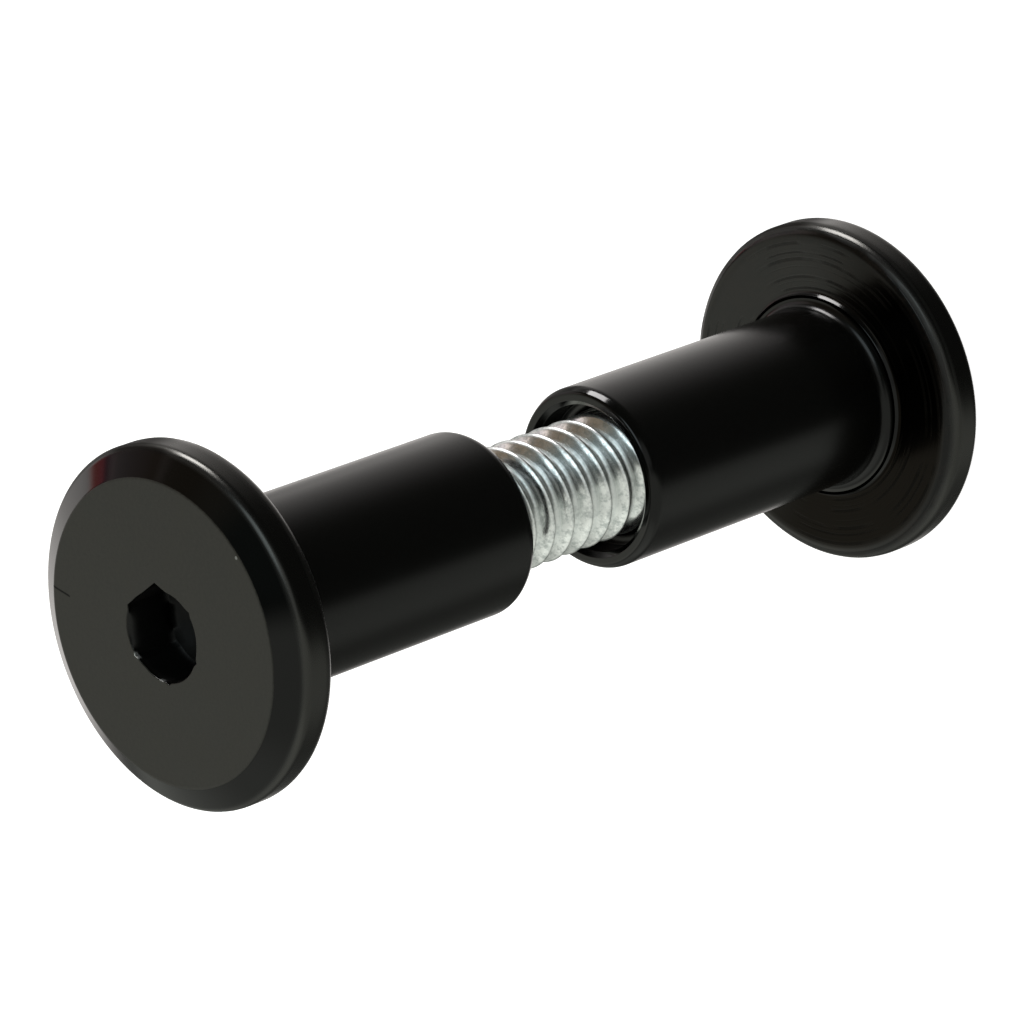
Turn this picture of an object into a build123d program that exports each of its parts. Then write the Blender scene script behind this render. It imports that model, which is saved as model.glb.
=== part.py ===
from build123d import *
import os
from math import ceil, radians, tan

# Binding barrel screw: two flanged cap nuts drawn together by a fully threaded stud.
# It stands on the flat face of the rear nut's head, with the common axis along +Z
# and the origin at the middle of that face. Lengths are millimetres, angles degrees.

os.makedirs("parts", exist_ok=True)

# Thread: coarse 60 degree form, cut on the stud from end to end
thread_major = 6.12
thread_pitch = 1.27
thread_half_angle = 30.0
thread_crest_flat = 0.16
thread_root_flat = 0.32
thread_margin = 0.05           # how far the thread's foot reaches into the core

# Stud
stud_end_bevel = 0.8           # length of the 45 degree bevel on each end
stud_end_clearance = 0.1       # between the stud and the bottom of the front nut's bore
thread_run_in = 1.69           # how far below the stud's end the winding starts, before the trim
rear_engagement = 5.4          # length of the stud inside the rear nut

# Bore of each cap nut
bore_clearance = 0.1           # radial, outside the thread's crest
lead_in_clearance = 0.54       # radial, from the crest to the wall of the plain lead-in
lead_in_depth = 1.5
drill_point_angle = 118.0

# Barrel of each cap nut
mouth_wall = 0.85              # metal outside the lead-in
mouth_outer_bevel = 0.22
mouth_inner_bevel = 0.25
barrel_length = 16.7           # from under the head to the mouth
end_web = 0.6                  # metal between the tips of the bore and the hex recess

# Head of each cap nut
head_diameter = 17.0
head_thickness = 2.6
bevel_width = 1.35             # radial width of the bevel round the flat face
bevel_angle = 30.0
rim_round = 0.7                # round on the rim's edge under the head

# Collar under the head, at the root of the barrel
collar_width = 0.65            # how far the collar stands out from the barrel
collar_height = 0.28
collar_round = 0.12
root_fillet = 0.45

# Hex recess in the flat face, for a 4 mm key
hex_across_flats = 4.08
hex_depth = 2.4
pilot_margin = 0.11            # how far the pilot drill bulges past each flat, radially

# How far the two mouths stand apart
mouth_gap = 7.9

# Derived sizes of the cap nut
head_radius = head_diameter / 2
bevel_depth = bevel_width * tan(radians(bevel_angle))
bore_radius = thread_major / 2 + bore_clearance
lead_in_radius = thread_major / 2 + lead_in_clearance
barrel_radius = lead_in_radius + mouth_wall
collar_radius = barrel_radius + collar_width
nut_length = head_thickness + barrel_length
point_slope = tan(radians(90 - drill_point_angle / 2))
pilot_radius = hex_across_flats / 2 + pilot_margin
hex_tip = hex_depth + pilot_radius * point_slope
bore_tip = hex_tip + end_web
bore_end = bore_tip + bore_radius * point_slope
bore_depth = nut_length - bore_end

# Derived sizes of the assembly and of the stud
overall_length = 2 * nut_length + mouth_gap
stud_start = nut_length - rear_engagement
stud_end = nut_length + mouth_gap + bore_depth - stud_end_clearance
stud_length = stud_end - stud_start
thread_depth = (thread_pitch - thread_crest_flat - thread_root_flat) / (2 * tan(radians(thread_half_angle)))
major_radius = thread_major / 2
core_radius = major_radius - thread_depth


def cap_nut(face: Plane) -> Part:
    """One flanged cap nut: its flat face lies on the plane, its barrel along the plane's +Z."""
    section = Plane(face.origin, x_dir=face.x_dir, z_dir=-face.y_dir)
    axis = Axis(face.origin, face.z_dir)
    with BuildPart() as nut:
        # Turned outside: face, bevel, rim, collar and barrel in one profile
        with BuildSketch(section):
            with BuildLine():
                bevel = Polyline((0, 0), (head_radius - bevel_width, 0), (head_radius, bevel_depth))
                rim = Line(bevel @ 1, (head_radius, head_thickness - rim_round))
                rim_edge = TangentArc(
                    rim @ 1, (head_radius - rim_round, head_thickness), tangent=rim % 1
                )
                collar = Polyline(
                    rim_edge @ 1,
                    (collar_radius, head_thickness),
                    (collar_radius, head_thickness + collar_height - collar_round),
                )
                collar_edge = TangentArc(
                    collar @ 1,
                    (collar_radius - collar_round, head_thickness + collar_height),
                    tangent=collar % 1,
                )
                collar_top = Line(
                    collar_edge @ 1, (barrel_radius + root_fillet, head_thickness + collar_height)
                )
                root = TangentArc(
                    collar_top @ 1,
                    (barrel_radius, head_thickness + collar_height + root_fillet),
                    tangent=collar_top % 1,
                )
                Polyline(root @ 1, (barrel_radius, nut_length), (0, nut_length), (0, 0))
            make_face()
        revolve(axis=axis)

        # Drilled bore with its point, and the wider lead-in at the mouth
        with BuildSketch(section):
            with BuildLine():
                Polyline(
                    (0, bore_tip),
                    (bore_radius, bore_end),
                    (bore_radius, nut_length - lead_in_depth),
                    (lead_in_radius, nut_length - lead_in_depth),
                    (lead_in_radius, nut_length),
                    (0, nut_length),
                    close=True,
                )
            make_face()
        revolve(axis=axis, mode=Mode.SUBTRACT)
        mouth = nut.faces().filter_by(axis).sort_by(axis)[-1]
        outer_edge, inner_edge = mouth.edges().sort_by(SortBy.RADIUS, reverse=True)
        chamfer(outer_edge, mouth_outer_bevel)
        chamfer(inner_edge, mouth_inner_bevel)

        # Hex recess: broached over a pilot hole that ends in the drill's point
        with BuildSketch(face):
            RegularPolygon(hex_across_flats / 2, 6, major_radius=False)
            Circle(pilot_radius)
        extrude(amount=hex_depth, mode=Mode.SUBTRACT)
        with BuildSketch(section):
            with BuildLine():
                Polyline((0, hex_depth), (pilot_radius, hex_depth), (0, hex_tip), close=True)
            make_face()
        revolve(axis=axis, mode=Mode.SUBTRACT)
    return nut.part


# The rear nut stands on its face; the front one faces up, coaxial with it
with BuildPart() as rear_barrel:
    add(cap_nut(Plane.XY))
rear_barrel.part.label = "rear_barrel"

top_face = Plane((0, 0, overall_length), x_dir=(1, 0, 0), z_dir=(0, 0, -1))
with BuildPart() as front_barrel:
    add(cap_nut(top_face))
front_barrel.part.label = "front_barrel"

# Stud: a core wound with a right-hand thread, both a little too long, trimmed to a rod with
# bevelled ends. The thread is one turn, stacked pitch by pitch until it passes the far end.
foot_radius = core_radius - thread_margin
foot_half_width = (thread_pitch - thread_root_flat) / 2 + thread_margin * tan(radians(thread_half_angle))
crest_half_width = thread_crest_flat / 2
winding_start = stud_start - thread_run_in
winding_turns = ceil((stud_end - winding_start) / thread_pitch) + 1
winding_length = winding_turns * thread_pitch
blank_radius = major_radius + thread_margin
end_radius = major_radius - stud_end_bevel

with BuildPart() as thread_turn:
    with BuildLine() as winding:
        Helix(thread_pitch, thread_pitch, core_radius)
    with BuildSketch(Plane(origin=(0, 0, 0), x_dir=(1, 0, 0), z_dir=(0, -1, 0))):
        with BuildLine():
            Polyline(
                (foot_radius, -foot_half_width),
                (major_radius, -crest_half_width),
                (major_radius, crest_half_width),
                (foot_radius, foot_half_width),
                close=True,
            )
        make_face()
    sweep(path=winding.line, is_frenet=True)

with BuildPart() as threaded_stud:
    with BuildSketch(Plane.XY.offset(winding_start - thread_pitch)):
        Circle(core_radius)
    extrude(amount=winding_length + 2 * thread_pitch)
    with Locations([(0, 0, winding_start + turn * thread_pitch) for turn in range(winding_turns)]):
        add(thread_turn.part)
    with BuildSketch(Plane.XZ):
        with BuildLine():
            Polyline(
                (0, stud_start),
                (end_radius, stud_start),
                (blank_radius, stud_start + stud_end_bevel + thread_margin),
                (blank_radius, stud_end - stud_end_bevel - thread_margin),
                (end_radius, stud_end),
                (0, stud_end),
                close=True,
            )
        make_face()
    revolve(axis=Axis.Z, mode=Mode.INTERSECT)
threaded_stud.part.label = "threaded_stud"

export_step(rear_barrel.part, "parts/rear_barrel.step")
export_step(front_barrel.part, "parts/front_barrel.step")
export_step(threaded_stud.part, "parts/threaded_stud.step")
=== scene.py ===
"""Looks of a binding barrel screw: two black cap nuts on a bright zinc plated stud.

The screw stands on its rear nut's face, with its axis along +Z. Each piece is a surface of
revolution or a thread surface worked out on a grid, and stands for the CAD node of its name.
Lengths are metres and angles radians.
"""

import logging
from dataclasses import dataclass, field
from enum import Enum
from math import cos, pi, radians, sin, tan
from typing import Sequence

import bpy
import numpy as np
from bpy.types import Material, Node, NodeSocket, NodeTree, Object, World
from mathutils import Matrix, Vector


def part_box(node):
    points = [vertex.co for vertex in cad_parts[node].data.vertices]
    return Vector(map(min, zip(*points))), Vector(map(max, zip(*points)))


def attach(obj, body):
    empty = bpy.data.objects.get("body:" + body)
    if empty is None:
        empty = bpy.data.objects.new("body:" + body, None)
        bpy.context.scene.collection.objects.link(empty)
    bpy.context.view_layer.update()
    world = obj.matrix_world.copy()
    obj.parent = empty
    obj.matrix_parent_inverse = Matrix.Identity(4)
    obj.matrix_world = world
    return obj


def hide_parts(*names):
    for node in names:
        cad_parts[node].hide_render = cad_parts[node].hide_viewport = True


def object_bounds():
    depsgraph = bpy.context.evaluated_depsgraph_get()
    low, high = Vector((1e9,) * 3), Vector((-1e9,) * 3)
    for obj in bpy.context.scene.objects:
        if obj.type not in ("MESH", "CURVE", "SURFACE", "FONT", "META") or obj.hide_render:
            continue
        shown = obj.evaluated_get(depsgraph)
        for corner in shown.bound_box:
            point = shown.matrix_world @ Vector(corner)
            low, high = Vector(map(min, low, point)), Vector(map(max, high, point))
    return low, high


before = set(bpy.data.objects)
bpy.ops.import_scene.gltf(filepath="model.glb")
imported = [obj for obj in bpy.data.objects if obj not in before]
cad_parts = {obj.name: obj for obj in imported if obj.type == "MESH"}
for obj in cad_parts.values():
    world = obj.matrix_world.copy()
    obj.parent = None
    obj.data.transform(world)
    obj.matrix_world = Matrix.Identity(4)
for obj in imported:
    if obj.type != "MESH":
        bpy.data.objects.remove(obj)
CAD_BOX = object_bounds()

MM = 0.001
LOG = logging.getLogger("binding_barrel_screw")
Array = np.ndarray
Triple = tuple[float, float, float]
Colour = tuple[float, float, float, float]


class Slot(Enum):
    """The record's material slots."""

    BLACK = "black_finish"
    ZINC = "bright_zinc"


class Facing(Enum):
    """Which way a cap nut's flat face looks along the axis."""

    DOWN = 1
    UP = -1


# ---- Meshes ----


def mesh_object(name: str, points: Array, polygons: Sequence[Array]) -> Object:
    """Puts points and polygons into a new mesh and links its object.

    Args:
        name: the object's and the mesh's name.
        points: vertex places, shaped (n, 3).
        polygons: arrays of vertex numbers, one array for each polygon size.

    Returns:
        The linked object, smooth shaded.
    """
    mesh = bpy.data.meshes.new(name)
    mesh.vertices.add(len(points))
    mesh.vertices.foreach_set("co", points.astype(np.float32).ravel())
    sizes = np.concatenate([np.full(len(p), p.shape[1]) for p in polygons])
    corners = np.concatenate([p.ravel() for p in polygons])
    mesh.loops.add(len(corners))
    mesh.loops.foreach_set("vertex_index", corners.astype(np.int32))
    mesh.polygons.add(len(sizes))
    starts = np.concatenate([[0], np.cumsum(sizes)[:-1]])
    mesh.polygons.foreach_set("loop_start", starts.astype(np.int32))
    mesh.polygons.foreach_set("use_smooth", np.ones(len(sizes), dtype=bool))
    mesh.update(calc_edges=True)
    mesh.validate()
    piece = bpy.data.objects.new(name, mesh)
    bpy.context.scene.collection.objects.link(piece)
    return piece


def grid_polygons(rows: int, columns: int, wraps: bool) -> list[Array]:
    """Numbers the corners of a grid's quads and of the fans that close it to two poles.

    Quad (i, j) joins row i to row i + 1 and column j to column j + 1. The poles are numbered
    after the grid's points, the low one first. Rows run so that their quads face outwards.

    Args:
        rows: rows of the grid.
        columns: points in each row.
        wraps: whether the last column also joins the first.

    Returns:
        Quads, triangles to the low pole, triangles to the high pole.
    """
    here = np.arange(columns if wraps else columns - 1)
    after = (here + 1) % columns
    row = np.arange(rows - 1)[:, None] * columns
    quads = np.stack([row + here, row + after, row + columns + after, row + columns + here], axis=-1)
    low, last = rows * columns, (rows - 1) * columns
    low_fan = np.stack([np.full(here.size, low), after, here], axis=-1)
    high_fan = np.stack([np.full(here.size, low + 1), last + here, last + after], axis=-1)
    return [quads.reshape(-1, 4), low_fan, high_fan]


def welded(name: str, points: Array, polygons: Sequence[Array], nearer: float) -> Object:
    """Makes a mesh in which points that coincide are one, and no polygon is collapsed.

    Places are rounded to the merging distance and equal ones share a number. A quad with two
    equal corners becomes a triangle, and anything smaller is dropped.

    Args:
        name: the object's and the mesh's name.
        points: vertex places, shaped (n, 3).
        polygons: arrays of vertex numbers.
        nearer: the distance under which points merge.

    Returns:
        The linked object.
    """
    rounded = np.round(points / nearer).astype(np.int64)
    _, first, number = np.unique(rounded, axis=0, return_index=True, return_inverse=True)
    number = number.ravel()
    quads, triangles = [], []
    for group in polygons:
        corners = number[group]
        kept = corners != np.roll(corners, 1, axis=1)
        size = kept.sum(axis=1)
        if group.shape[1] == 4:
            quads.append(corners[size == 4])
        triangles.append(corners[size == 3][kept[size == 3]].reshape(-1, 3))
    return mesh_object(name, points[first], [np.concatenate(quads), np.concatenate(triangles)])


def set_attribute(piece: Object, name: str, values: Array) -> None:
    """Stores one float for each vertex, for the materials to read."""
    layer = piece.data.attributes.new(name, "FLOAT", "POINT")
    layer.data.foreach_set("value", values.astype(np.float32).ravel())


# ---- Profiles and fades ----


def smooth_step(low: float, high: float, value: Array) -> Array:
    """Rises from 0 at low to 1 at high along the cubic 3t^2 - 2t^3."""
    t = np.clip((value - low) / (high - low), 0.0, 1.0)
    return t * t * (3.0 - 2.0 * t)


def angle_from(angles: Array, middle: float) -> Array:
    """How far each angle lies from the middle one, the short way round."""
    return np.abs(np.angle(np.exp(1j * (angles - middle))))


@dataclass(frozen=True)
class Fade:
    """A smooth change from one place to another."""

    start: float
    end: float

    def rise(self, value: Array) -> Array:
        """0 up to the start, 1 from the end on."""
        return smooth_step(self.start, self.end, value)

    def fall(self, value: Array) -> Array:
        """1 up to the start, 0 from the end on."""
        return 1.0 - self.rise(value)


@dataclass(frozen=True)
class Corner:
    """One corner of a turned profile, and how far it is rounded."""

    radius: float
    height: float
    round: float = 0.0


def rounded_profile(corners: Sequence[Corner], steps: int = 7, longest: float = 0.5 * MM) -> Array:
    """Rounds the corners of a profile and divides its long stretches.

    Each corner with sides u and v becomes the arc that touches both sides at
    round * tan(turn / 2) from it. A point a third of that further out on each side keeps the
    flat stretches flat under smooth shading.

    Args:
        corners: the profile's corners, from one end to the other.
        steps: points along each arc.
        longest: the longest stretch that is left undivided.

    Returns:
        Points (radius, height), shaped (n, 2).
    """
    places = np.array([(c.radius, c.height) for c in corners])
    pieces = [places[:1]]
    for before, corner, after, rule in zip(places[:-2], places[1:-1], places[2:], corners[1:-1]):
        into, out = corner - before, after - corner
        into, out = into / np.linalg.norm(into), out / np.linalg.norm(out)
        turn = np.arccos(np.clip(into @ out, -1.0, 1.0))
        if rule.round <= 0.0 or turn < 1e-6:
            pieces.append(corner[None])
            continue
        reach = rule.round * tan(turn / 2)
        start = corner - into * reach
        inward = (out - into * (into @ out)) / sin(turn)
        angles = np.linspace(0.0, turn, steps)[:, None]
        arc = start + rule.round * (np.sin(angles) * into + (1.0 - np.cos(angles)) * inward)
        pieces += [(start - into * reach / 3)[None], arc, (corner + out * reach * 4 / 3)[None]]
    points = np.concatenate(pieces + [places[-1:]])
    lengths = np.linalg.norm(np.diff(points, axis=0), axis=1)
    parts = np.maximum(1, np.ceil(lengths / longest)).astype(int)
    along = np.concatenate([[0.0], np.cumsum(lengths)])
    samples = [np.linspace(a, b, n, endpoint=False) for a, b, n in zip(along[:-1], along[1:], parts)]
    wanted = np.append(np.concatenate(samples), along[-1])
    return np.stack([np.interp(wanted, along, points[:, k]) for k in range(2)], axis=-1)


# ---- Thread ----


@dataclass(frozen=True)
class Thread:
    """The 60 degree thread that the stud and both nuts share."""

    major_radius: float = 3.06 * MM
    core_radius: float = 2.376 * MM
    pitch: float = 1.27 * MM
    crest_flat: float = 0.16 * MM
    half_angle: float = radians(30)
    softness: float = 0.09 * MM

    def phase(self, angle: Array, height: Array, start: float) -> Array:
        """Axial distance from the nearest crest line.

        The crest climbs one pitch a turn, right-handed, from height start at angle 0, so the
        distance is height - start - pitch * angle / turn, brought within half a pitch.
        """
        lead = (height - start) / self.pitch - angle / (2 * pi)
        return (lead - np.round(lead)) * self.pitch

    def outer(self, distance: Array) -> Array:
        """Radius of the stud at an axial distance from the crest line.

        It is the flank's straight line, held between core and major radius by a soft minimum
        and maximum, which round the crest and the root as rolling does.
        """
        flank = self.major_radius + (self.crest_flat / 2 - np.abs(distance)) / tan(self.half_angle)
        crest = self._soft_least(flank, self.major_radius)
        return -self._soft_least(-crest, -self.core_radius)

    def inner(self, distance: Array, minor_radius: float, bore_radius: float, play: float) -> Array:
        """Radius of a nut's tapped wall, clear of the stud's flanks by the play along the axis."""
        flank = self.major_radius + (self.crest_flat / 2 + play - np.abs(distance)) / tan(self.half_angle)
        return np.clip(flank, minor_radius, bore_radius)

    def _soft_least(self, value: Array, limit: float) -> Array:
        """The smaller of value and limit, blended over the softness."""
        gap = (value - limit) / self.softness
        return limit - self.softness * np.log1p(np.exp(-np.clip(gap, -60.0, 60.0)))


# ---- Cap nuts ----


@dataclass(frozen=True)
class Circle:
    """A circle whose centre lies off the axis, to one side."""

    radius: float
    towards: float = 0.0
    offset: float = 0.0

    def reach(self, angles: Array) -> Array:
        """Distance from the axis to the circle.

        A circle of radius R whose centre lies e off the axis reaches
        e cos a + sqrt(R^2 - (e sin a)^2) at the angle a from its offset.
        """
        turned = angles - self.towards
        return self.offset * np.cos(turned) + np.sqrt(self.radius**2 - (self.offset * np.sin(turned))**2)


@dataclass(frozen=True)
class Chip:
    """A bruise on the recess's lip: its angle on the nut, half its span, and how bare it is."""

    angle: float
    span: float
    bareness: float

    def held(self, angles: Array) -> Array:
        """How bare the lip is at each angle: fully so in the chip's middle third."""
        return self.bareness * Fade(0.3 * self.span, self.span).fall(angle_from(angles, self.angle))


class Region(Enum):
    """Parts of a head that can carry a stretch of painted shade."""

    UNDERSIDE = "underside"
    BEVEL = "bevel"
    RIM = "rim"


@dataclass(frozen=True)
class PaintedShade:
    """A stretch of painted shade on a head: its region, its middle angle, its reach and how softly it ends.

    It is painted shade: it stands in for something dark nearby that the black finish mirrors,
    and it turns with the nut.
    """

    region: Region
    angle: float
    reach: float
    blend: float

    def held(self, angles: Array) -> Array:
        """How strongly the painted shade covers the region at each angle."""
        return Fade(self.reach - self.blend, self.reach + self.blend).fall(angle_from(angles, self.angle))


@dataclass(frozen=True)
class WearAndShade:
    """How one nut differs from a fresh one, by its own angles, and where it carries painted shade.

    The pilot hole may lie off centre, the flares widen the recess's mouth, and chips bare the
    steel. The painted shades aren't wear: they are darker stretches that stand in for dark
    surroundings the finish would mirror, and differ from nut to nut too.
    """

    pilot: Circle = Circle(2.15 * MM)
    flares: tuple[Circle, ...] = ()
    chips: tuple[Chip, ...] = ()
    painted_shades: tuple[PaintedShade, ...] = ()


REAR_WEAR_AND_SHADE = WearAndShade(
    # Painted shade: a darker lower underside and a darker top of the rim.
    painted_shades=(
        PaintedShade(Region.UNDERSIDE, radians(-125), radians(100), radians(30)),
        PaintedShade(Region.RIM, radians(23), radians(25), radians(6)),
    ),
)
FRONT_WEAR_AND_SHADE = WearAndShade(
    pilot=Circle(2.15 * MM, radians(150), 0.12 * MM),
    flares=(
        Circle(1.9 * MM, radians(75), 0.36 * MM),
        Circle(1.9 * MM, radians(264), 0.42 * MM),
    ),
    chips=(
        Chip(radians(-121), radians(5), 1.0),
        Chip(radians(-168), radians(5), 0.3),
    ),
    # Painted shade: a narrow darker band on the bevel and a darker top of the rim.
    painted_shades=(
        PaintedShade(Region.BEVEL, radians(-3.4), radians(14), radians(5)),
        PaintedShade(Region.RIM, radians(-23), radians(25), radians(6)),
    ),
)


@dataclass(frozen=True)
class NutGrid:
    """A nut's surface: rows from the recess's tip round the outside to the bore's tip.

    The radius and the height above the face are shaped (rows, columns), and the angles
    (columns,) are the nut's own.
    """

    angles: Array
    radius: Array
    height: Array
    recess_rows: int
    outer_rows: int

    @property
    def in_recess(self) -> Array:
        """1 on the rows of the recess and the inner face, 0 on the others."""
        return self._first(self.recess_rows)

    @property
    def outside(self) -> Array:
        """0 on the bore's rows, 1 on the others."""
        return self._first(self.recess_rows + self.outer_rows)

    def _first(self, count: int) -> Array:
        """1 on the first rows, 0 on the others."""
        row = np.arange(len(self.radius))[:, None]
        return (row < count) * np.ones_like(self.radius)


@dataclass(frozen=True)
class NutBands:
    """Where the finish changes on a nut: distances from the face, or from the edge that a name gives."""

    face_depth: float = 0.02 * MM
    lip_width: float = 0.045 * MM
    past_rim_round: Fade = Fade(0.0, 0.25 * MM)
    past_barrel: Fade = Fade(0.1 * MM, 0.4 * MM)
    past_mouth: Fade = Fade(-0.4 * MM, -0.2 * MM)
    past_rim: Fade = Fade(-0.3 * MM, -0.1 * MM)
    past_flat: Fade = Fade(-0.8 * MM, -0.5 * MM)
    into_recess: Fade = Fade(0.02 * MM, 0.3 * MM)
    past_lip: Fade = Fade(0.1 * MM, 0.2 * MM)
    past_bevel: Fade = Fade(0.75 * MM, 0.95 * MM)


@dataclass
class CapNut:
    """One flanged cap nut: head with hex recess, collar, and barrel with a tapped bore.

    The recess's rows reach out over the flat face by the recess reach, turning from the
    hexagon into circles, and the outside's rows go on from there.
    """

    node: str
    body: str
    facing: Facing
    # Wear of this nut, and the stretches of painted shade on its head.
    wear: WearAndShade
    thread: Thread
    crest_start: float
    head_radius: float = 8.5 * MM
    head_thickness: float = 2.6 * MM
    face_round: float = 0.3 * MM
    bevel_width: float = 1.35 * MM
    bevel_angle: float = radians(30)
    bevel_round: float = 0.5 * MM
    rim_round: float = 0.7 * MM
    collar_radius: float = 5.1 * MM
    collar_height: float = 0.28 * MM
    collar_flare: float = 0.05 * MM
    collar_foot_round: float = 0.16 * MM
    collar_lean: float = 0.14 * MM
    collar_round: float = 0.2 * MM
    root_fillet: float = 0.45 * MM
    barrel_radius: float = 4.45 * MM
    mouth_outer_bevel: float = 0.22 * MM
    mouth_bevel_length: float = 0.374 * MM
    mouth_shoulder_round: float = 0.6 * MM
    mouth_lip_round: float = 0.2 * MM
    mouth_inner_bevel: float = 0.25 * MM
    lead_in_radius: float = 3.6 * MM
    lead_in_depth: float = 1.5 * MM
    bore_radius: float = 3.16 * MM
    minor_radius: float = 2.58 * MM
    thread_play: float = 0.05 * MM
    end_web: float = 0.6 * MM
    point_angle: float = radians(118)
    hex_half_flats: float = 2.04 * MM
    pilot_radius: float = 2.15 * MM
    hex_depth: float = 2.4 * MM
    cone_lip: float = 0.02 * MM
    sharp_edge: float = 0.05 * MM
    flare_depth: float = 0.22 * MM
    flare_blend: float = 0.012 * MM
    recess_reach: float = 2.4 * MM
    recess_to_round: Fade = Fade(0.3 * MM, 2.2 * MM)
    turned_from: float = 2.8 * MM
    bands: NutBands = NutBands()
    columns_to_pilot: int = 7
    columns_on_pilot: int = 22
    rows_per_pitch: int = 18
    rows_on_cone: int = 6
    length: float = field(init=False)
    far_face: float = field(init=False)

    def __post_init__(self) -> None:
        """Takes the nut's length and the height of its face from the frame."""
        low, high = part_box(self.node)
        self.length = high.z - low.z
        self.far_face = low.z if self.facing is Facing.DOWN else high.z

    @property
    def point_slope(self) -> float:
        """Rise of a drill point's cone for each step outwards."""
        return tan(pi / 2 - self.point_angle / 2)

    @property
    def recess_tip(self) -> float:
        """Depth of the pilot hole's tip under the face."""
        return self.hex_depth + self.pilot_radius * self.point_slope

    def build(self) -> Object:
        """Makes the nut's mesh: every row is a ring round the axis, every column a half section."""
        grid = self._grid()
        turn = self.facing.value * grid.angles
        across, along = grid.radius * np.cos(turn), grid.radius * np.sin(turn)
        rings = np.stack([across, along, self._in_frame(grid.height)], axis=-1)
        tips = self._in_frame(np.array([self.recess_tip, self.recess_tip + self.end_web]))
        poles = np.column_stack([0.0 * tips, 0.0 * tips, tips])
        points = np.concatenate([rings.reshape(-1, 3), poles])
        piece = mesh_object(f"{self.node}_shell", points, grid_polygons(*grid.radius.shape, wraps=True))
        self._mark(piece, grid)
        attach(piece, self.body)
        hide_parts(self.node)
        return piece

    def _in_frame(self, height: Array) -> Array:
        """Turns heights above the nut's face into the frame's."""
        return self.far_face + self.facing.value * height

    def _grid(self) -> NutGrid:
        """Works out the nut's rows: recess, outside, then bore."""
        angles = self._angles()
        recess, outer = self._recess_profile(), self._outer_profile()
        outline = self._recess_outline(angles)
        flared = self._mouth_outline(angles) - outline
        hexed = recess[:, 2:3] * (outline - self.pilot_radius)
        recess_radius = recess[:, :1] + hexed + recess[:, 3:] * flared
        bore_radius, bore_height = self._bore_rings(angles)
        wide = np.ones((1, angles.size))
        radius = np.concatenate([recess_radius, outer[:, :1] * wide, bore_radius])
        height = np.concatenate([recess[:, 1:2] * wide, outer[:, 1:] * wide, bore_height])
        return NutGrid(angles, radius, height, len(recess), len(outer))

    def _angles(self) -> Array:
        """Column angles, with one on each hex corner and on each end of the pilot's arcs."""
        reach = pi / 6 - np.arccos(self.hex_half_flats / self.pilot_radius)
        sector = np.concatenate([
            np.linspace(0.0, reach, self.columns_to_pilot, endpoint=False),
            np.linspace(reach, pi / 3 - reach, self.columns_on_pilot, endpoint=False),
            np.linspace(pi / 3 - reach, pi / 3, self.columns_to_pilot, endpoint=False),
        ])
        return (np.arange(6)[:, None] * pi / 3 + sector).ravel()

    def _recess_outline(self, angles: Array) -> Array:
        """Radius of the recess: the hexagon, or the pilot hole where that is wider.

        The hexagon's radius is its half flats over the cosine of the angle from the nearest
        flat's middle.
        """
        from_flat = np.mod(angles, pi / 3) - pi / 6
        return np.maximum(self.hex_half_flats / np.cos(from_flat), self.wear.pilot.reach(angles))

    def _mouth_outline(self, angles: Array) -> Array:
        """Radius of the recess's mouth: its outline, widened by the flares.

        The larger radius wins, as b log(exp(outline / b) + exp(flare / b)) with a short blend b.
        """
        outline = self._recess_outline(angles)
        for flare in self.wear.flares:
            both = np.logaddexp(outline / self.flare_blend, flare.reach(angles) / self.flare_blend)
            outline = self.flare_blend * both
        return outline

    def _recess_profile(self) -> Array:
        """Rows (radius, height, hexness, flare) from the recess's tip out to the face."""
        cone = np.linspace(0.15, 1.0, self.rows_on_cone) * (self.pilot_radius - self.cone_lip)
        none = np.zeros_like(cone)
        cone_rows = np.column_stack([cone, self.recess_tip - cone * self.point_slope, none, none])
        wall = rounded_profile([
            Corner(self.pilot_radius, self.hex_depth),
            Corner(self.pilot_radius, self.flare_depth, self.sharp_edge),
            Corner(self.pilot_radius, 0.0, self.sharp_edge),
            Corner(self.pilot_radius + self.recess_reach, 0.0),
        ])
        hexness = self.recess_to_round.fall(wall[:, 0] - self.pilot_radius)
        flare = hexness * np.clip(1.0 - wall[:, 1] / self.flare_depth, 0.0, 1.0)
        return np.concatenate([cone_rows, np.column_stack([wall, hexness, flare])])

    def _outer_profile(self) -> Array:
        """Rows (radius, height) from the flat face round the head and up to the lead-in's step."""
        face_edge = self.head_radius - self.bevel_width
        bevel_depth = self.bevel_width * tan(self.bevel_angle)
        collar_top = self.head_thickness + self.collar_height
        step = self.length - self.lead_in_depth
        return rounded_profile([
            Corner(self.pilot_radius + self.turned_from, 0.0),
            Corner(face_edge, 0.0, self.face_round),
            Corner(self.head_radius, bevel_depth, self.bevel_round),
            Corner(self.head_radius, self.head_thickness, self.rim_round),
            Corner(self.collar_radius + self.collar_flare, self.head_thickness, self.collar_foot_round),
            Corner(self.collar_radius - self.collar_lean, collar_top, self.collar_round),
            Corner(self.barrel_radius, collar_top, self.root_fillet),
            Corner(self.barrel_radius, self.length - self.mouth_bevel_length, self.mouth_shoulder_round),
            Corner(self.barrel_radius - self.mouth_outer_bevel, self.length, self.mouth_lip_round),
            Corner(self.lead_in_radius + self.mouth_inner_bevel, self.length, self.sharp_edge),
            Corner(self.lead_in_radius, self.length - self.mouth_inner_bevel, self.sharp_edge),
            Corner(self.lead_in_radius, step, self.sharp_edge),
            Corner(self.bore_radius, step),
        ])

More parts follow.
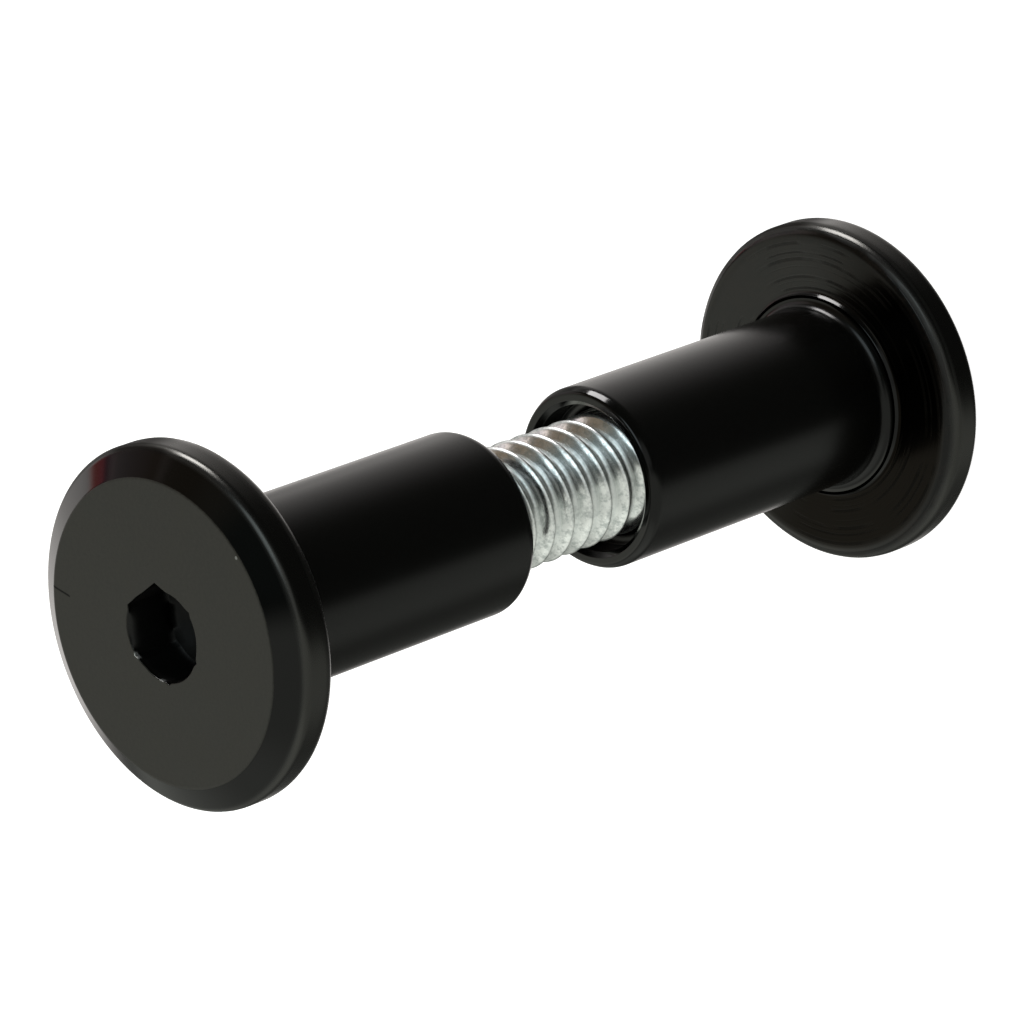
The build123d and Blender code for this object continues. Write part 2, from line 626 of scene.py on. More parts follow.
    def _bore_rings(self, angles: Array) -> tuple[Array, Array]:
        """Radius and height of the tapped wall and the drill's cone.

        The wall's crests run out at 45 degrees towards the lead-in and towards the cone.
        """
        top = self.length - self.lead_in_depth
        bottom = self.recess_tip + self.end_web + self.bore_radius * self.point_slope
        rows = int(round((top - bottom) / self.thread.pitch * self.rows_per_pitch))
        height = np.linspace(top, bottom, rows + 1)[1:, None]
        run_out = np.minimum(top - height, height - bottom)
        minor = np.maximum(self.minor_radius, self.bore_radius - run_out)
        turn, place = self.facing.value * angles, self._in_frame(height)
        distance = self.thread.phase(turn, place, self.crest_start)
        wall = self.thread.inner(distance, self.minor_radius, self.bore_radius, self.thread_play)
        cone = np.linspace(0.9, 0.1, self.rows_on_cone)[:, None] * self.bore_radius
        wide_cone = np.broadcast_to(cone, (self.rows_on_cone, angles.size))
        radius = np.concatenate([np.maximum(wall, minor), wide_cone])
        heights = np.concatenate([height, bottom - (self.bore_radius - cone) * self.point_slope])
        return radius, np.broadcast_to(heights, radius.shape)

    def _mark(self, piece: Object, grid: NutGrid) -> None:
        """Stores on the mesh, as numbers from 0 to 1, where the finish's parts and the painted shade lie."""
        marks = self._regions(grid)
        marks["bare"] = self._bare(grid)
        # Painted shade: darker stretches of the head that stand in for mirrored dark surroundings.
        marks["painted_shade"] = self._painted_shade(grid, marks)
        for name, values in marks.items():
            set_attribute(piece, name, np.append(values.ravel(), [values[0].mean(), values[-1].mean()]))

    def _regions(self, grid: NutGrid) -> dict[str, Array]:
        """Where the flat face, the underside, the glossy edges, the rim and the recess are."""
        bands, radius, height = self.bands, grid.radius, grid.height
        face = (height < bands.face_depth) * grid.outside
        under = bands.past_rim_round.rise(height - self.head_thickness + self.rim_round)
        wide = bands.past_barrel.rise(radius - self.barrel_radius)
        mouth = bands.past_mouth.rise(height - self.length)
        return {
            "face": face,
            "under": under * (radius > self.collar_radius) * grid.outside,
            "edge": np.maximum(wide, mouth) * grid.outside * (1.0 - face),
            "rim": bands.past_rim.rise(radius - self.head_radius) * grid.outside,
            "recess": bands.into_recess.rise(height) * grid.in_recess,
        }

    def _bare(self, grid: NutGrid) -> Array:
        """How bare the chips leave the recess's lip."""
        lip = self.bands.past_lip.fall(grid.height) * grid.in_recess
        lip = lip * (grid.radius < self._mouth_outline(grid.angles) + self.bands.lip_width)
        held = [chip.held(grid.angles) for chip in self.wear.chips]
        return lip * np.max([np.zeros_like(grid.angles), *held], axis=0)

    def _painted_shade(self, grid: NutGrid, regions: dict[str, Array]) -> Array:
        """How strongly the head carries painted shade: darker stretches for mirrored dark surroundings."""
        bevel = self.bands.past_bevel.fall(grid.height) * grid.outside * (1.0 - regions["face"])
        flat = self.bands.past_flat.fall(grid.radius - self.head_radius)
        places = {
            Region.UNDERSIDE: regions["under"] * flat,
            Region.BEVEL: bevel,
            Region.RIM: regions["rim"] * (1.0 - bevel),
        }
        held = [places[stretch.region] * stretch.held(grid.angles) for stretch in self.wear.painted_shades]
        return np.max(held, axis=0)


# ---- Stud ----


@dataclass
class Stud:
    """The fully threaded stud, bevelled at both ends."""

    node: str
    body: str
    thread: Thread
    end_bevel: float = 0.8 * MM
    run_in: float = 1.69 * MM
    ripple: float = 0.008 * MM
    crowding: float = 0.09
    merge: float = 0.0002 * MM
    columns: int = 144
    rows_per_pitch: int = 18
    end_rings: int = 5
    low: float = field(init=False)
    high: float = field(init=False)

    def __post_init__(self) -> None:
        """Takes the stud's ends from the frame."""
        low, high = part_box(self.node)
        self.low, self.high = low.z, high.z

    @property
    def crest_start(self) -> float:
        """Height of a crest line at angle 0: the winding starts this far under the stud's low end."""
        return self.low - self.run_in

    def build(self) -> Object:
        """Makes the stud's mesh: the winding, closed by a disc of rings at each end."""
        piece = self._closed(self._winding())
        place = np.zeros(len(piece.data.vertices) * 3, np.float32)
        piece.data.vertices.foreach_get("co", place)
        across, along = place[0::3], place[1::3]
        set_attribute(piece, "crest", self._height_of_thread(np.hypot(across, along)))
        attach(piece, self.body)
        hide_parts(self.node)
        return piece

    def _winding(self) -> Array:
        """The thread's surface, on a grid that climbs with it.

        Row k at angle a lies at height start + pitch * (k / rows per pitch + a / turn), held
        between the two ends, so rows follow the crest, and the column after a full turn is
        the first column one pitch higher. A sine crowds the rows at the crest and the root.
        """
        pitch, per = self.thread.pitch, self.rows_per_pitch
        turns = int(np.ceil((self.high - self.crest_start) / pitch)) + 1
        angles = np.linspace(0.0, 2 * pi, self.columns + 1)
        row = np.arange(turns * per + 1)[:, None]
        spread = row / per + self.crowding * np.sin(4 * pi * row / per) / (2 * pi)
        climbing = self.crest_start + pitch * (spread + angles / (2 * pi))
        height = np.clip(climbing, self.low, self.high)
        radius = self.thread.outer(self.thread.phase(angles, height, self.crest_start))
        wear = np.abs(self.ripple * self._ripple(angles + 2 * pi * np.floor(spread)))
        from_end = np.minimum(height - self.low, self.high - height)
        bevel = self.thread.major_radius - self.end_bevel + from_end
        radius = np.minimum(radius - wear * self._height_of_thread(radius), bevel)
        return np.stack([radius * np.cos(angles), radius * np.sin(angles), height], axis=-1)

    def _height_of_thread(self, radius: Array) -> Array:
        """0 at the root, 1 at the crest."""
        return smooth_step(self.thread.core_radius, self.thread.major_radius, radius)

    def _ripple(self, winding: Array) -> Array:
        """Slight unevenness along the crest: three sines of the angle wound so far."""
        slow, quick = np.sin(winding * 2.7), np.sin(winding * 7.3 + 1.0)
        return (slow + quick + 0.6 * np.sin(winding * 17.9 + 2.0)) / 2.6

    def _closed(self, sheet: Array) -> Object:
        """Closes the winding with a disc at each end and merges the points that coincide."""
        discs = [self._disc(height, sheet.shape[1]) for height in (self.low, self.high)]
        grid = np.concatenate([discs[0][::-1], sheet, discs[1]])
        poles = np.array([[0.0, 0.0, self.low], [0.0, 0.0, self.high]])
        points = np.concatenate([grid.reshape(-1, 3), poles])
        polygons = grid_polygons(*grid.shape[:2], wraps=False)
        return welded(f"{self.node}_shell", points, polygons, self.merge)

    def _disc(self, height: float, columns: int) -> Array:
        """Rings that shrink from the end's edge towards the axis, at one height."""
        turn = np.linspace(0.0, 2 * pi, columns)
        radius = np.linspace(1.0, 0.1, self.end_rings)[:, None] * (self.thread.major_radius - self.end_bevel)
        across = radius * np.cos(turn)
        return np.stack([across, radius * np.sin(turn), np.full_like(across, height)], axis=-1)


# ---- Shader nodes ----


Value = float | Triple | Colour | NodeSocket


def spaced(values: dict[str, Value]) -> dict[str, Value]:
    """The same values under names whose underscores are spaces, as sockets have them."""
    return {name.replace("_", " "): value for name, value in values.items()}


class Graph:
    """Adds nodes to one node tree and wires them."""

    def __init__(self, tree: NodeTree) -> None:
        """Keeps the tree."""
        self.tree = tree

    def feed(self, node: Node, inputs: dict[str | int, Value]) -> None:
        """Links a node's sockets, given by name or number, or sets their values."""
        for name, value in inputs.items():
            if isinstance(value, NodeSocket):
                self.tree.links.new(value, node.inputs[name])
            else:
                node.inputs[name].default_value = value

    def add(self, kind: str, inputs: dict[str | int, Value] | None = None, **settings: object) -> Node:
        """Makes a node.

        Args:
            kind: the node type, without its "ShaderNode".
            inputs: what goes into its sockets, by name or number.
            settings: the node's own properties.

        Returns:
            The node.
        """
        node = self.tree.nodes.new(f"ShaderNode{kind}")
        for name, setting in settings.items():
            setattr(node, name, setting)
        self.feed(node, inputs or {})
        return node

    def math(self, operation: str, *values: Value, clamp: bool = False) -> NodeSocket:
        """One arithmetic step on numbers."""
        return self.add("Math", dict(enumerate(values)), operation=operation, use_clamp=clamp).outputs[0]

    def product(self, first: Value, *others: Value) -> Value:
        """All the values multiplied."""
        for value in others:
            first = self.math("MULTIPLY", first, value)
        return first

    def vector(self, operation: str, first: Value, second: Value = (0.0, 0.0, 0.0)) -> Node:
        """One step on one or two vectors."""
        return self.add("VectorMath", {0: first, 1: second}, operation=operation)

    def scaled(self, vector: Value, factor: Value) -> NodeSocket:
        """A vector times a number."""
        return self.add("VectorMath", {0: vector, "Scale": factor}, operation="SCALE").outputs[0]

    def ramp(self, value: Value, low: float, high: float, to_low: float = 0.0, to_high: float = 1.0,
             smooth: bool = True) -> NodeSocket:
        """Carries value from the span low to high onto to_low to to_high, held at both ends."""
        names = {"Value": value, "From Min": low, "From Max": high, "To Min": to_low, "To Max": to_high}
        kind = "SMOOTHSTEP" if smooth else "LINEAR"
        return self.add("MapRange", names, interpolation_type=kind).outputs[0]

    def mix(self, factor: Value, low: Value, high: Value) -> NodeSocket:
        """Blends two numbers."""
        return self.add("Mix", {0: factor, 2: low, 3: high}, data_type="FLOAT").outputs[0]

    def tint(self, factor: Value, low: Value, high: Value) -> NodeSocket:
        """Blends two colours."""
        return self.add("Mix", {0: factor, 6: low, 7: high}, data_type="RGBA").outputs[2]

    def noise(self, place: Value, scale: float, detail: float = 2.0, rough: float = 0.5,
              kind: str = "3D") -> NodeSocket:
        """Cloudy noise, as a number round one half."""
        names = {"Scale": scale, "Detail": detail, "Roughness": rough}
        names["W" if kind == "1D" else "Vector"] = place
        return self.add("TexNoise", names, noise_dimensions=kind).outputs[0]

    def place(self) -> NodeSocket:
        """The point on the surface, in the object's own coordinates."""
        return self.add("TexCoord").outputs["Object"]

    def flattened(self, place: Value) -> NodeSocket:
        """A point moved along the axis to height 0."""
        return self.vector("MULTIPLY", place, (1.0, 1.0, 0.0)).outputs[0]

    def stored(self, name: str) -> NodeSocket:
        """A number that the mesh stores at its vertices."""
        return self.add("Attribute", attribute_name=name).outputs["Fac"]

    def bump(self, strength: float, distance: float, height: Value) -> NodeSocket:
        """The surface's normal, tilted by a relief."""
        return self.add("Bump", {"Strength": strength, "Distance": distance, "Height": height}).outputs[0]

    def group(self, group: NodeTree, **inputs: Value) -> Node:
        """Places a node group."""
        return self.add("Group", spaced(inputs), node_tree=group)


class GroupGraph(Graph):
    """A new node group whose sockets are numbers."""

    def __init__(self, name: str, **inputs: float) -> None:
        """Starts the group with its inputs' default values."""
        super().__init__(bpy.data.node_groups.new(name, "ShaderNodeTree"))
        for key, value in spaced(inputs).items():
            socket = self.tree.interface.new_socket(key, in_out="INPUT", socket_type="NodeSocketFloat")
            socket.default_value = value
        self.given = self.tree.nodes.new("NodeGroupInput").outputs

    def close(self, **outputs: NodeSocket) -> NodeTree:
        """Wires the group's outputs and hands the group over."""
        for key in outputs:
            self.tree.interface.new_socket(key, in_out="OUTPUT", socket_type="NodeSocketFloat")
        self.feed(self.tree.nodes.new("NodeGroupOutput"), outputs)
        return self.tree


class MaterialGraph(Graph):
    """A new material with one Principled shader."""

    def __init__(self, name: str) -> None:
        """Starts the material."""
        self.material = bpy.data.materials.new(name)
        self.material.use_nodes = True
        self.material.node_tree.nodes.clear()
        super().__init__(self.material.node_tree)

    def close(self, **inputs: Value) -> Material:
        """Feeds the shader, wires it to the material's output and hands the material over."""
        shader = self.add("BsdfPrincipled", spaced(inputs))
        self.add("OutputMaterial", {"Surface": shader.outputs[0]})
        return self.material


# ---- Finishes ----


@dataclass
class Effects:
    """Node groups that the finishes share."""

    scratch_start: Triple = (1.62 * MM, 7.05 * MM, 0.0)
    scratch_end: Triple = (1.22 * MM, 5.98 * MM, 0.0)
    scratch_above: float = 30.0 * MM
    groove_scale: float = 0.4
    groove_patches: float = 330.0
    waver_scale: float = 300.0
    mottle: NodeTree = field(init=False)
    turning: NodeTree = field(init=False)
    specks: NodeTree = field(init=False)
    scratch: NodeTree = field(init=False)

    def __post_init__(self) -> None:
        """Builds each group once."""
        self.mottle = self._mottle()
        self.turning = self._turning()
        self.specks = self._specks()
        self.scratch = self._scratch()

    def _mottle(self) -> NodeTree:
        """Unevenness of a bath finish: broad clouds plus fine grain, round one half."""
        graph = GroupGraph("uneven_bath", Cloud_Scale=600.0, Grain_Scale=6000.0, Grain=0.5)
        place = graph.place()
        cloud = graph.noise(place, graph.given["Cloud Scale"], 3.0, 0.55)
        grain = graph.noise(place, graph.given["Grain Scale"], 2.0, 0.6)
        return graph.close(Mask=graph.mix(graph.given["Grain"], cloud, grain))

    def _turning(self) -> NodeTree:
        """Rings left by a lathe tool: noise on the radius, broken up a little by cloudy noise."""
        graph = GroupGraph("turning_marks", Rings=9000.0, Waver=0.04 * MM)
        place = graph.place()
        radius = graph.vector("LENGTH", graph.flattened(place)).outputs["Value"]
        cloud = graph.math("SUBTRACT", graph.noise(place, self.waver_scale), 0.5)
        wavering = graph.math("ADD", radius, graph.product(cloud, graph.given["Waver"]))
        count = graph.product(wavering, graph.given["Rings"])
        fine = graph.noise(count, 1.0, 2.0, 0.6, "1D")
        cut = graph.ramp(graph.noise(count, self.groove_scale, 1.0, 0.5, "1D"), 0.53, 0.62)
        patchy = graph.ramp(graph.noise(place, self.groove_patches), 0.44, 0.56)
        return graph.close(Height=fine, Grooves=graph.product(cut, patchy))

    def _specks(self) -> NodeTree:
        """Sparse light specks of dust: cells whose random value is low, near their middle."""
        graph = GroupGraph("dust_specks", Scale=2200.0, Share=0.03, Size=0.25)
        cells = graph.add("TexVoronoi", {"Vector": graph.place(), "Scale": graph.given["Scale"]})
        chance = graph.add("SeparateColor", {0: cells.outputs["Color"]}).outputs[0]
        chosen = graph.math("LESS_THAN", chance, graph.given["Share"])
        near = graph.math("LESS_THAN", cells.outputs["Distance"], graph.given["Size"])
        return graph.close(Mask=graph.product(chosen, near))

    def _scratch(self) -> NodeTree:
        """One short scratch on the upper face: where the distance to its segment is small."""
        graph = GroupGraph("scratch", Width=0.05 * MM)
        place = graph.place()
        start, end = Vector(self.scratch_start), Vector(self.scratch_end)
        run = end - start
        offset = graph.vector("SUBTRACT", graph.flattened(place), tuple(start)).outputs[0]
        along = graph.vector("DOT_PRODUCT", offset, tuple(run / run.length_squared)).outputs["Value"]
        nearest = graph.scaled(tuple(run), graph.ramp(along, 0.0, 1.0, smooth=False))
        apart = graph.vector("DISTANCE", offset, nearest).outputs["Value"]
        mark = graph.ramp(graph.math("DIVIDE", apart, graph.given["Width"]), 0.6, 1.2, 1.0, 0.0)
        high = graph.math("GREATER_THAN", graph.add("SeparateXYZ", {0: place}).outputs[2], self.scratch_above)
        return graph.close(Mask=graph.product(mark, high))


@dataclass(frozen=True)
class BlackFinish:
    """Black oxide on turned steel: dull on the face, satin on the barrel, glossier on the edges."""

    name: str = "black_oxide"
    base: Colour = (0.0012, 0.0012, 0.001, 1.0)
    dull_low: Colour = (0.0095, 0.0089, 0.0068, 1.0)
    dull_high: Colour = (0.0205, 0.0192, 0.0155, 1.0)
    warm: Colour = (0.0045, 0.003, 0.0022, 1.0)
    rubbed: Colour = (0.05, 0.0495, 0.047, 1.0)
    # Painted shade: the darker colour of the head's stretches that stand in for mirrored dark surroundings.
    painted_shade_colour: Colour = (0.0062, 0.0052, 0.0042, 1.0)
    steel: Colour = (0.6, 0.61, 0.6, 1.0)
    speck_strength: float = 0.3
    shine: float = 0.25
    barrel_roughness: float = 0.24
    edge_roughness: float = 0.11
    face_roughness: float = 0.42
    under_roughness: float = 0.17
    rim_roughness: float = 0.27
    matt_roughness: float = 0.6
    recess_roughness: float = 0.5
    mark_roughness: float = 0.35
    unevenness: float = 0.06
    even_share: float = 0.15
    mottle_span: tuple[float, float] = (0.35, 0.65)
    warm_span: tuple[float, float] = (0.42, 0.6)
    turning_depth: float = 0.45
    face_grain: float = 0.8
    barrel_grain: float = 0.03
    mark_depth: float = 1.5
    bump_strength: float = 0.4
    bump_distance: float = 0.012 * MM

    def material(self, effects: Effects) -> Material:
        """Makes the material."""
        graph = MaterialGraph(self.name)
        names = ("face", "under", "edge", "recess", "bare", "rim", "painted_shade")
        parts = {name: graph.stored(name) for name in names}
        face, under = parts["face"], parts["under"]
        mottle = graph.group(effects.mottle, Cloud_Scale=700.0, Grain_Scale=5200.0, Grain=0.5).outputs[0]
        rings = graph.group(effects.turning, Rings=9000.0, Waver=0.04 * MM)
        scratch = graph.product(graph.group(effects.scratch, Width=0.05 * MM).outputs[0], face)
        marks = graph.math("ADD", graph.product(under, rings.outputs["Grooves"]), scratch)
        shiny = graph.math("MAXIMUM", parts["bare"], self._specks(graph, effects, face))
        colour = self._colour(graph, parts, mottle, scratch)
        rough, marked = self._roughness(graph, parts, mottle), graph.product(marks, self.mark_roughness)
        height = graph.product(rings.outputs["Height"], graph.mix(under, 0.0, self.turning_depth))
        grain = graph.product(mottle, graph.mix(face, self.barrel_grain, self.face_grain))
        height = graph.math("ADD", height, grain)
        height = graph.math("SUBTRACT", height, graph.product(marks, self.mark_depth))
        # The painted shade is also metallic with a dark colour, so its stretches mirror less.
        return graph.close(
            Base_Color=graph.tint(shiny, colour, self.steel),
            Metallic=graph.math("MAXIMUM", graph.math("MAXIMUM", shiny, parts["rim"]), parts["painted_shade"]),
            Roughness=graph.math("ADD", rough, marked),
            Normal=graph.bump(self.bump_strength, self.bump_distance, height),
            Specular_IOR_Level=self.shine,
        )

    def _specks(self, graph: Graph, effects: Effects, face: Value) -> Value:
        """Faint specks of dust on the flat face."""
        specks = graph.group(effects.specks, Scale=1500.0, Share=0.02, Size=0.12).outputs[0]
        return graph.product(specks, face, self.speck_strength)

    def _colour(self, graph: Graph, parts: dict[str, Value], mottle: Value, scratch: Value) -> Value:
        """Colour of the oxide, part by part of the nut, with the painted shade laid over it last."""
        warmth = graph.product(parts["under"], graph.ramp(mottle, *self.warm_span))
        dull = graph.tint(graph.ramp(mottle, *self.mottle_span), self.dull_low, self.dull_high)
        colour = graph.tint(graph.math("SUBTRACT", parts["face"], scratch), self.base, dull)
        colour = graph.tint(warmth, colour, self.warm)
        colour = graph.tint(parts["rim"], colour, self.rubbed)
        # Painted shade: darker where the head stands in for mirrored dark surroundings.
        return graph.tint(parts["painted_shade"], colour, self.painted_shade_colour)

    def _roughness(self, graph: Graph, parts: dict[str, Value], mottle: Value) -> Value:
        """Roughness of the oxide, part by part of the nut, and uneven by the mottle."""
        face, rim = parts["face"], parts["rim"]
        rough = graph.mix(parts["edge"], self.barrel_roughness, self.edge_roughness)
        rough = graph.mix(rim, rough, self.rim_roughness)
        rough = graph.mix(face, rough, self.face_roughness)
        within = graph.math("SUBTRACT", parts["under"], rim, clamp=True)
        rough = graph.mix(within, rough, self.under_roughness)
        # Where painted shade lies on the rim, the rim is matt too, which dims its grazing reflection.
        rough = graph.mix(graph.product(parts["painted_shade"], rim), rough, self.matt_roughness)
        rough = graph.mix(parts["recess"], rough, self.recess_roughness)
        uneven = graph.ramp(mottle, *self.mottle_span, -self.unevenness, self.unevenness)
        return graph.math("ADD", rough, graph.product(uneven, graph.mix(face, self.even_share, 1.0)))


@dataclass(frozen=True)
class ZincPlate:
    """Bright zinc plate on a rolled thread, duller on the crest and in the root.

    Towards the root the plate's tone is darker: painted shade for the shadow in the thread's groove.
    """

    name: str = "bright_zinc_plate"
    base: Colour = (0.87, 0.89, 0.88, 1.0)
    shade: Colour = (0.5, 0.53, 0.525, 1.0)
    # The share of the bright tone kept in the root; below 1 it paints shade there.
    painted_root_shade: float = 0.5
    low_roughness: float = 0.13
    high_roughness: float = 0.25
    crest_roughness: float = 0.38
    bump_strength: float = 0.5
    bump_distance: float = 0.01 * MM

    def material(self, effects: Effects) -> Material:
        """Makes the material."""
        graph = MaterialGraph(self.name)
        crest = graph.stored("crest")
        mottle = graph.group(effects.mottle, Cloud_Scale=2200.0, Grain_Scale=7000.0, Grain=0.4).outputs[0]
        cover = graph.ramp(mottle, 0.36, 0.58)
        # Painted shade: the tone darkens towards the root, where shadow would fall in the groove.
        tone_with_root_shade = graph.mix(crest, graph.product(cover, self.painted_root_shade), cover)
        rough = graph.ramp(mottle, 0.3, 0.7, self.high_roughness, self.low_roughness)
        on_crest, in_root = graph.ramp(crest, 0.8, 1.0), graph.ramp(crest, 0.05, 0.3, 1.0, 0.0)
        turned = graph.math("MAXIMUM", on_crest, in_root)
        return graph.close(
            Base_Color=graph.tint(tone_with_root_shade, self.shade, self.base),
            Metallic=1.0,
            Roughness=graph.mix(turned, rough, self.crest_roughness),
            Normal=graph.bump(self.bump_strength, self.bump_distance, mottle),
        )


# ---- Studio ----


@dataclass(frozen=True)
class Viewpoint:
    """The camera: where the far nut's face centre lies before it, and how it is turned.

    Before the turn about +Z, the camera looks along +Y, tipped down by the elevation, and is
    rolled so that the screw's axis leans across the picture by the lean. Lens and sensor are
    in millimetres, as Blender has them.
    """

    lens: float = 212.78
    sensor_width: float = 36.0
    near: float = 0.01
    far: float = 20.0
    elevation: float = radians(41.952)
    lean: float = radians(20.085)
    turn: float = radians(18.4)
    right_of: float = -15.502 * MM
    below: float = 5.414 * MM
    ahead: float = 267.75 * MM

    def axes(self) -> tuple[Vector, Vector, Vector]:
        """The picture's right, its down and the viewing direction, as unit vectors."""
        upright = Vector((0.0, sin(self.elevation), cos(self.elevation)))
        sideways = Vector((1.0, 0.0, 0.0))
        right = -sin(self.lean) * sideways - cos(self.lean) * upright
        down = -cos(self.lean) * sideways + sin(self.lean) * upright
        forward = Vector((0.0, cos(self.elevation), -sin(self.elevation)))
        about = Matrix.Rotation(self.turn, 3, "Z")
        return about @ right, about @ down, about @ forward

    def step(self, right: float, down: float, ahead: float) -> Vector:
        """A step made of its parts along the three axes."""
        axes = self.axes()
        return axes[0] * right + axes[1] * down + axes[2] * ahead

    def build(self, face_centre: Vector) -> Object:
        """Makes the camera and sets it as the scene's."""
        right, down, forward = self.axes()
        camera = bpy.data.objects.new("camera", bpy.data.cameras.new("camera"))
        bpy.context.scene.collection.objects.link(camera)
        camera.data.lens, camera.data.sensor_width = self.lens, self.sensor_width
        camera.data.clip_start, camera.data.clip_end = self.near, self.far
        turned = Matrix((right, -down, -forward)).transposed().to_4x4()
        place = face_centre - self.step(self.right_of, self.below, self.ahead)
        camera.matrix_world = Matrix.Translation(place) @ turned
        bpy.context.scene.camera = camera
        return camera


@dataclass(frozen=True)
class Patch:
    """A round glow in the surround: where it lies for the viewer, its reach as cosines, its colour."""

    towards: Triple
    edge: float
    core: float
    glow: Triple


@dataclass
class Surround:
    """A soft surround, dim on the viewer's side.

    The glow is a sum over the direction's shares right, down and ahead, as the viewer has
    them: a pale wall behind that ends at the left, a table below that grows brighter towards
    the viewer and is shaded behind the screw, and smooth round patches. The camera sees an
    even pale backdrop instead.
    """

    viewpoint: Viewpoint
    wall: float = 1.1
    table: float = 1.0
    backdrop: float = 0.98
    wall_tint: Triple = (1.0, 0.96, 0.93)
    table_tint: Triple = (0.97, 1.0, 0.92)
    dim_tint: Triple = (0.045, 0.046, 0.042)
    patches: tuple[Patch, ...] = (
        Patch((-0.93, 0.33, 0.16), 0.84, 0.97, (0.82, 0.83, 0.73)),
        Patch((-0.88, -0.33, -0.25), 0.87, 0.97, (0.14, 0.1, 0.065)),
        Patch((-0.68, -0.1, -0.72), 0.86, 0.97, (0.05, 0.07, 0.07)),
        Patch((-0.925, -0.345, 0.14), 0.962, 0.982, (0.72, 0.64, 0.62)),
        Patch((-0.848, -0.232, 0.477), 0.9965, 0.9985, (0.62, 0.08, 0.07)),
        Patch((-0.881, -0.268, 0.391), 0.995, 0.9985, (0.15, 0.05, 0.1)),
        Patch((-0.93, -0.34, 0.18), 0.985, 0.994, (0.04, 0.04, 0.1)),
        Patch((-0.3, -0.34, -0.89), 0.93, 0.98, (1.9, 2.2, 2.3)),
        Patch((0.15, -0.1, -0.98), 0.9, 0.98, (0.55, 0.57, 0.55)),
    )
    world: World = field(init=False)
    graph: Graph = field(init=False)
    towards: NodeSocket = field(init=False)

    def __post_init__(self) -> None:
        """Starts the world's node tree with the direction looked in."""
        self.world = bpy.data.worlds.new("soft_surround")
        self.world.use_nodes = True
        self.world.node_tree.nodes.clear()
        self.graph = Graph(self.world.node_tree)
        self.towards = self.graph.add("TexCoord").outputs["Generated"]

    def build(self) -> World:
        """Sums the glows and sets the world as the scene's."""
        graph = self.graph
        right, down, ahead = self._share(1, 0, 0), self._share(0, 1, 0), self._share(0, 0, 1)
        glows = [(self._wall(right, down, ahead), self.wall_tint)]
        glows.append((self._table(right, down, ahead), self.table_tint))
        for patch in self.patches:
            glows.append((graph.ramp(self._share(*patch.towards), patch.edge, patch.core), patch.glow))
        total = self.dim_tint
        for strength, hue in glows:
            total = graph.vector("ADD", total, graph.scaled(hue, strength)).outputs[0]
        seen = graph.add("LightPath").outputs["Is Camera Ray"]
        colour = graph.tint(seen, total, (self.backdrop, self.backdrop, self.backdrop, 1.0))
        background = graph.add("Background", {"Color": colour})
        graph.add("OutputWorld", {"Surface": background.outputs[0]})
        bpy.context.scene.world = self.world
        return self.world

    def _share(self, right: float, down: float, ahead: float) -> Value:
        """Cosine of the angle between the direction looked in and the one given."""
        goal = self.viewpoint.step(right, down, ahead).normalized()
        return self.graph.vector("DOT_PRODUCT", self.towards, tuple(goal)).outputs["Value"]

    def _wall(self, right: Value, down: Value, ahead: Value) -> Value:
        """Strength of the wall behind."""
        ramp = self.graph.ramp
        behind = ramp(ahead, 0.0, 0.6)
        above_table = ramp(down, 0.1, 0.35, 1.0, 0.0)
        dimmer_high = ramp(down, -0.9, -0.5, 0.55, 1.0)
        fading_right = ramp(right, 0.05, 0.8, 1.0, 0.0)
        left_end = ramp(right, -0.835, -0.815)
        shaded = ramp(self._share(-0.45, -0.45, 0.77), 0.9, 0.95, 1.0, 0.25)
        return self.graph.product(behind, above_table, dimmer_high, fading_right, left_end, shaded, self.wall)

    def _table(self, right: Value, down: Value, ahead: Value) -> Value:
        """Strength of the table below."""
        ramp = self.graph.ramp
        edge = self.graph.math("ADD", 0.25, ramp(right, -0.3, 0.5, 0.0, -0.2))
        on_table = ramp(self.graph.math("SUBTRACT", down, edge), 0.0, 0.2)
        brighter_near = ramp(ahead, -0.8, 0.8, 0.7, 0.38, smooth=False)
        brighter_below = ramp(down, 0.82, 0.95, 1.0, 1.6)
        shaded = ramp(self._share(0.4, 0.4, 0.82), 0.77, 0.95, 1.0, 0.2)
        return self.graph.product(on_table, brighter_near, brighter_below, shaded, self.table)


@dataclass(frozen=True)
class Softbox:
    """A soft square lamp aimed at the screw's middle, placed from there as the viewer sees it."""

    name: str = "overhead_softbox"
    right: float = -0.18
    down: float = -0.465
    ahead: float = 0.0
    size: float = 0.2
    power: float = 2.6
    colour: Triple = (1.0, 0.98, 0.97)

    def build(self, viewpoint: Viewpoint) -> Object:
        """Makes the lamp."""
        light = bpy.data.lights.new(self.name, "AREA")
        light.shape = "RECTANGLE"
        light.size = light.size_y = self.size
        light.energy, light.color = self.power, self.colour
        lamp = bpy.data.objects.new(self.name, light)
        bpy.context.scene.collection.objects.link(lamp)
        centre = (CAD_BOX[0] + CAD_BOX[1]) / 2
        lamp.location = centre + viewpoint.step(self.right, self.down, self.ahead)
        lamp.rotation_mode = "QUATERNION"
        lamp.rotation_quaternion = (centre - lamp.location).to_track_quat("-Z", "Y")
        return lamp


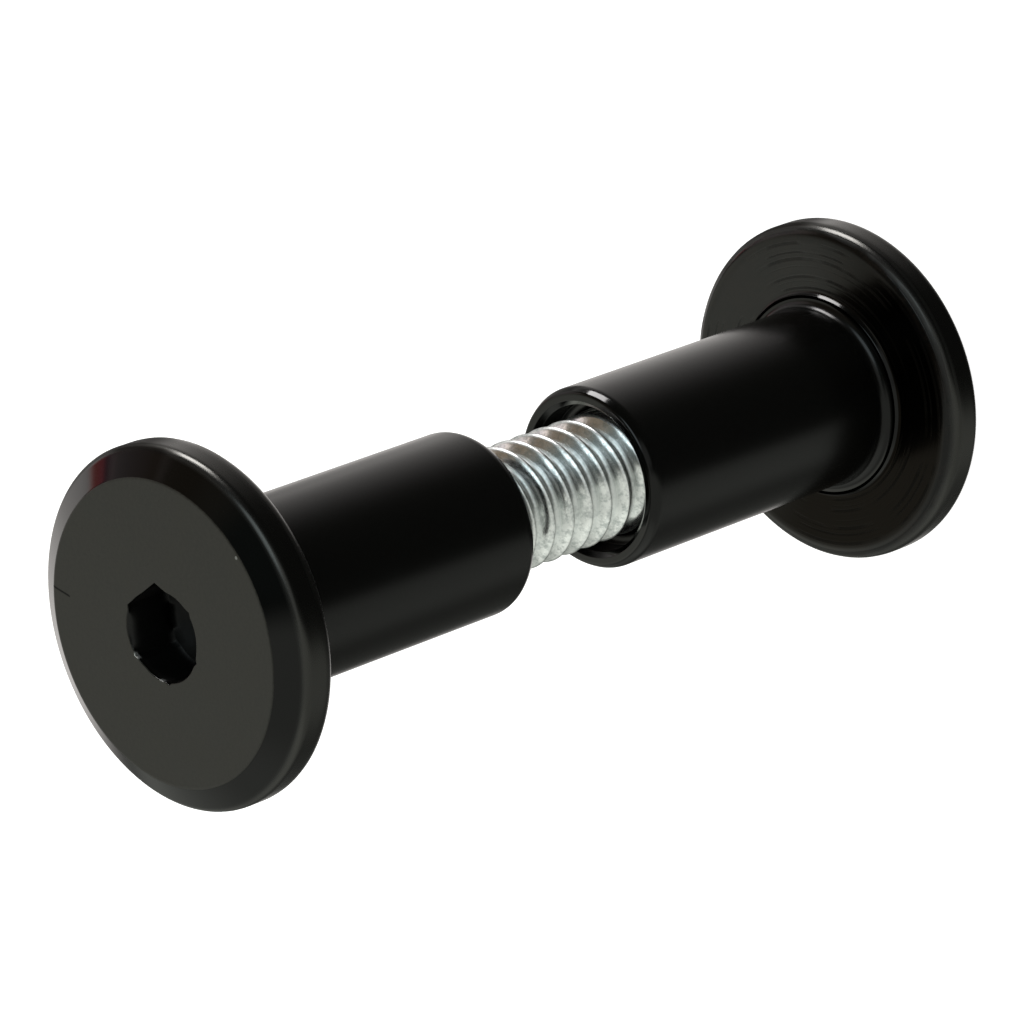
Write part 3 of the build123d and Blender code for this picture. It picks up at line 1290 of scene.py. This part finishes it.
@dataclass(frozen=True)
class Floor:
    """A plain pale floor at height 0, which gives off light too; it isn't part of the object."""

    size: float = 3.0
    cells: int = 40
    low: Colour = (0.8, 0.8, 0.8, 1.0)
    high: Colour = (0.82, 0.82, 0.82, 1.0)
    cloud_scale: float = 3.0
    roughness: float = 0.9
    glow: float = 0.9

    def build(self) -> Object:
        """Makes the floor."""
        count = self.cells + 1
        steps = np.linspace(-self.size, self.size, count)
        across, along = np.meshgrid(steps, steps, indexing="xy")
        points = np.stack([across, along, np.zeros_like(across)], axis=-1).reshape(-1, 3)
        corner = (np.arange(self.cells)[:, None] * count + np.arange(self.cells)).ravel()
        quads = np.stack([corner, corner + 1, corner + count + 1, corner + count], axis=-1)
        floor = mesh_object("floor", points, [quads])
        floor.data.materials.append(self._material())
        floor.visible_glossy = False
        return floor

    def _material(self) -> Material:
        """Makes the floor's material."""
        graph = MaterialGraph("pale_floor")
        cloud = graph.noise(graph.place(), self.cloud_scale)
        return graph.close(
            Base_Color=graph.tint(graph.ramp(cloud, 0.3, 0.7), self.low, self.high),
            Roughness=self.roughness,
            Specular_IOR_Level=0.0,
            Emission_Color=(1.0, 1.0, 1.0, 1.0),
            Emission_Strength=self.glow,
        )


def main() -> None:
    """Builds the pieces, the finishes and the studio, and reports each piece."""
    logging.basicConfig(level=logging.INFO, format="%(name)s: %(message)s")
    thread = Thread()
    stud = Stud("threaded_stud", "stud", thread)
    nuts = [
        CapNut("rear_barrel", "rear_nut", Facing.DOWN, REAR_WEAR_AND_SHADE, thread, stud.crest_start),
        CapNut("front_barrel", "front_nut", Facing.UP, FRONT_WEAR_AND_SHADE, thread, stud.crest_start),
    ]
    effects = Effects()
    black, zinc = BlackFinish().material(effects), ZincPlate().material(effects)
    for maker, finish in ((stud, zinc), *((nut, black) for nut in nuts)):
        piece = maker.build()
        piece.data.materials.append(finish)
        LOG.info("%s: %d vertices, %d faces", piece.name, len(piece.data.vertices), len(piece.data.polygons))
    viewpoint = Viewpoint()
    viewpoint.build(Vector((0.0, 0.0, CAD_BOX[1].z)))
    Floor().build()
    Surround(viewpoint).build()
    Softbox().build(viewpoint)
    bpy.context.scene.view_settings.view_transform = "Standard"


if __name__ == "__main__":
    main()
